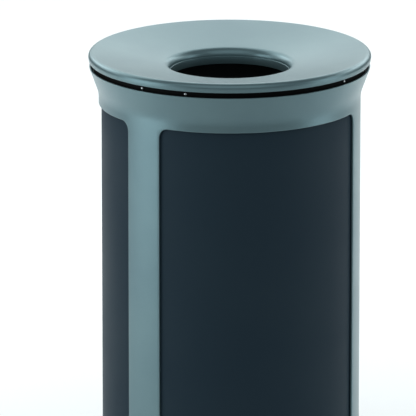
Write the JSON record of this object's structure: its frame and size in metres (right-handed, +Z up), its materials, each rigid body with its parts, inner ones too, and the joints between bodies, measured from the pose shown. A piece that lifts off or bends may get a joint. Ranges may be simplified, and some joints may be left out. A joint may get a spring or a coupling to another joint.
{
  "type": "round open-top litter bin",
  "caption": "Round litter bin with a hinged funnel lid, an open throat, dark curved panels in a painted metal frame, and a lift-out rigid liner with bail handles.",
  "frame": {"origin": "on the floor under the bin's axis, level with the underside of the rubber feet", "axes": "+Z up along the bin's axis, -Y towards the front, in the middle of the front panel, +X to the right seen from the front"},
  "size_m": [0.46, 0.46, 0.8],
  "materials": {
    "frame_paint": "satin metallic",
    "lid_paint": "satin metallic",
    "panel": "smooth semi-gloss",
    "black_paint": "satin",
    "bare_steel": "zinc plated",
    "fastener": "bright zinc",
    "rubber": "moulded",
    "liner_plastic": "moulded, fine grain"
  },
  "bodies": {
    "frame": {"frame_shell": "frame_paint", "panel_front": "panel", "panel_left": "panel", "panel_right": "panel", "retainer_left": "bare_steel", "retainer_right": "bare_steel", "retainer_back": "bare_steel", "retainer_screws": "fastener", "seat_ring": "black_paint", "ring_screws": "fastener", "rest_blocks": "rubber", "ring_rivets": "fastener", "base_pan": "black_paint", "base_screws": "fastener", "feet": "rubber", "foot_screws": "fastener", "hinge_frame_leaf": "bare_steel", "hinge_pin": "fastener", "hinge_frame_screws": "fastener"},
    "lid": {"lid": "lid_paint", "throat_sleeve": "lid_paint", "hinge_lid_leaf": "bare_steel", "hinge_lid_screws": "fastener"},
    "liner": {"liner": "liner_plastic", "liner_bracket_left": "bare_steel", "liner_bracket_right": "bare_steel", "bracket_rivets": "fastener"},
    "handle_left": {"handle_left": "bare_steel"},
    "handle_right": {"handle_right": "bare_steel"}
  },
  "joints": [
    {"name": "lid_hinge", "type": "hinge", "parent": "frame", "child": "lid", "pos_m": [0, 0.226, 0.7811], "axis": [-1, 0, 0], "range_deg": [0, 80]},
    {"name": "liner_lift", "type": "slide", "parent": "frame", "child": "liner", "axis": [0, 0, 1], "range_m": [0, 0.01]},
    {"name": "handle_left_swing", "type": "hinge", "parent": "liner", "child": "handle_left", "pos_m": [-0.18, 0, 0.745], "axis": [0, -1, 0], "range_deg": [0, 110]},
    {"name": "handle_right_swing", "type": "hinge", "parent": "liner", "child": "handle_right", "pos_m": [0.18, 0, 0.745], "axis": [0, 1, 0], "range_deg": [0, 110]}
  ]
}
